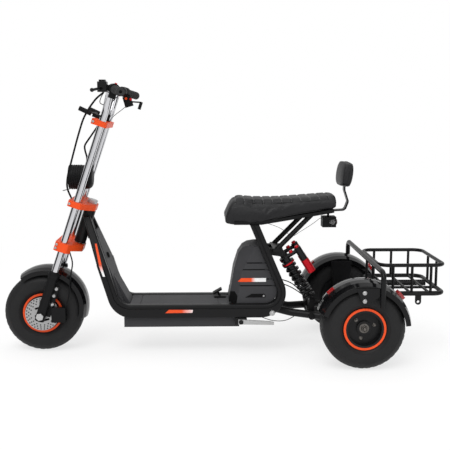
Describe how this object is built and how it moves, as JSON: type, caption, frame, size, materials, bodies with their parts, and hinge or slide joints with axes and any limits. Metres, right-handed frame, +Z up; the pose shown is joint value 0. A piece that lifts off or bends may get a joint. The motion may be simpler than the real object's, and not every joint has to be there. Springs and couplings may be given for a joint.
{
  "type": "three-wheel electric scooter",
  "caption": "Step-through electric scooter with a raked fork, fat tyres, long saddle with backrest, coil-over rear suspension, rear fenders and a tube basket.",
  "frame": {"origin": "on the floor below the middle of the overall length and width", "axes": "+X forward along the travel direction, +Y to the rider's left, +Z up"},
  "size_m": [1.942, 0.8106, 1.1929],
  "materials": {
    "tyre_rubber": "matte",
    "rim_paint": "satin black with an orange ring",
    "disc_steel": "brushed",
    "axle_steel": "zinc",
    "frame_paint": "satin black",
    "fork_chrome": "polished",
    "slider_paint": "satin black",
    "clamp_paint": "satin orange",
    "body_plastic": "satin charcoal",
    "deck_rubber": "ribbed matte",
    "seat_vinyl": "grained vinyl",
    "trim_plastic": "matte black",
    "fender_gloss": "gloss black",
    "shock_paint": "satin black",
    "reservoir_red": "red anodised",
    "lens_clear": "clear",
    "lens_red": "clear red",
    "grip_rubber": "ribbed",
    "lever_paint": "black",
    "stand_metal": "bare",
    "cable_rubber": "matte"
  },
  "bodies": {
    "chassis": {"frame_rails": "frame_paint", "head_tube": "frame_paint", "cross_members": "frame_paint", "seat_struts": "frame_paint", "backrest_bar": "frame_paint", "swing_arm": "frame_paint", "drive_axle": "frame_paint", "fender_stays": "frame_paint", "guard_bar": "frame_paint", "basket": "frame_paint", "carrier_bars": "frame_paint", "stand_bracket": "frame_paint", "leg_shield": "body_plastic", "battery_box": "body_plastic", "belly_case": "body_plastic", "deck_floor": "deck_rubber", "seat_cushion": "seat_vinyl", "backrest_pad": "seat_vinyl", "seat_pan": "trim_plastic", "seat_rear_lamp": "trim_plastic", "foot_brake_pedal": "trim_plastic", "rear_fenders": "fender_gloss", "shock_dampers": "shock_paint", "shock_springs": "shock_paint", "shock_reservoirs": "reservoir_red", "fender_lamps": "lens_red"},
    "fork": {"fork_sliders": "slider_paint", "fork_tubes": "fork_chrome", "lower_clamp": "clamp_paint", "middle_clamp": "clamp_paint", "upper_clamp": "clamp_paint", "steering_stem": "axle_steel", "grips": "grip_rubber", "brake_levers": "lever_paint", "bar_controls": "trim_plastic", "headlamp_shell": "trim_plastic", "headlamp_lens": "lens_clear", "turn_signals": "trim_plastic", "front_fender": "fender_gloss", "front_brake_caliper": "slider_paint", "front_axle": "axle_steel", "control_cables": "cable_rubber"},
    "front_wheel": {"front_tyre": "tyre_rubber", "front_rim": "rim_paint", "front_brake_disc": "disc_steel"},
    "rear_left_wheel": {"rear_left_tyre": "tyre_rubber", "rear_left_rim": "rim_paint"},
    "rear_right_wheel": {"rear_right_tyre": "tyre_rubber", "rear_right_rim": "rim_paint"},
    "stand": {"side_stand": "stand_metal"}
  },
  "joints": [
    {"name": "steering", "type": "hinge", "parent": "chassis", "child": "fork", "pos_m": [0.60919, 0, 0.5593], "axis": [-0.3223, 0, 0.9466], "range_deg": [-40, 40]},
    {"name": "front_wheel_spin", "type": "hinge", "parent": "fork", "child": "front_wheel", "pos_m": [0.796, 0, 0.175], "axis": [0, 1, 0], "continuous": true},
    {"name": "rear_left_wheel_spin", "type": "hinge", "parent": "chassis", "child": "rear_left_wheel", "pos_m": [-0.585, 0.3, 0.175], "axis": [0, 1, 0], "continuous": true},
    {"name": "rear_right_wheel_spin", "type": "hinge", "parent": "chassis", "child": "rear_right_wheel", "pos_m": [-0.585, -0.3, 0.175], "axis": [0, 1, 0], "continuous": true},
    {"name": "side_stand_swing", "type": "hinge", "parent": "chassis", "child": "stand", "pos_m": [-0.085, 0.13, 0.147], "axis": [0, -1, 0], "range_deg": [0, 100]}
  ]
}
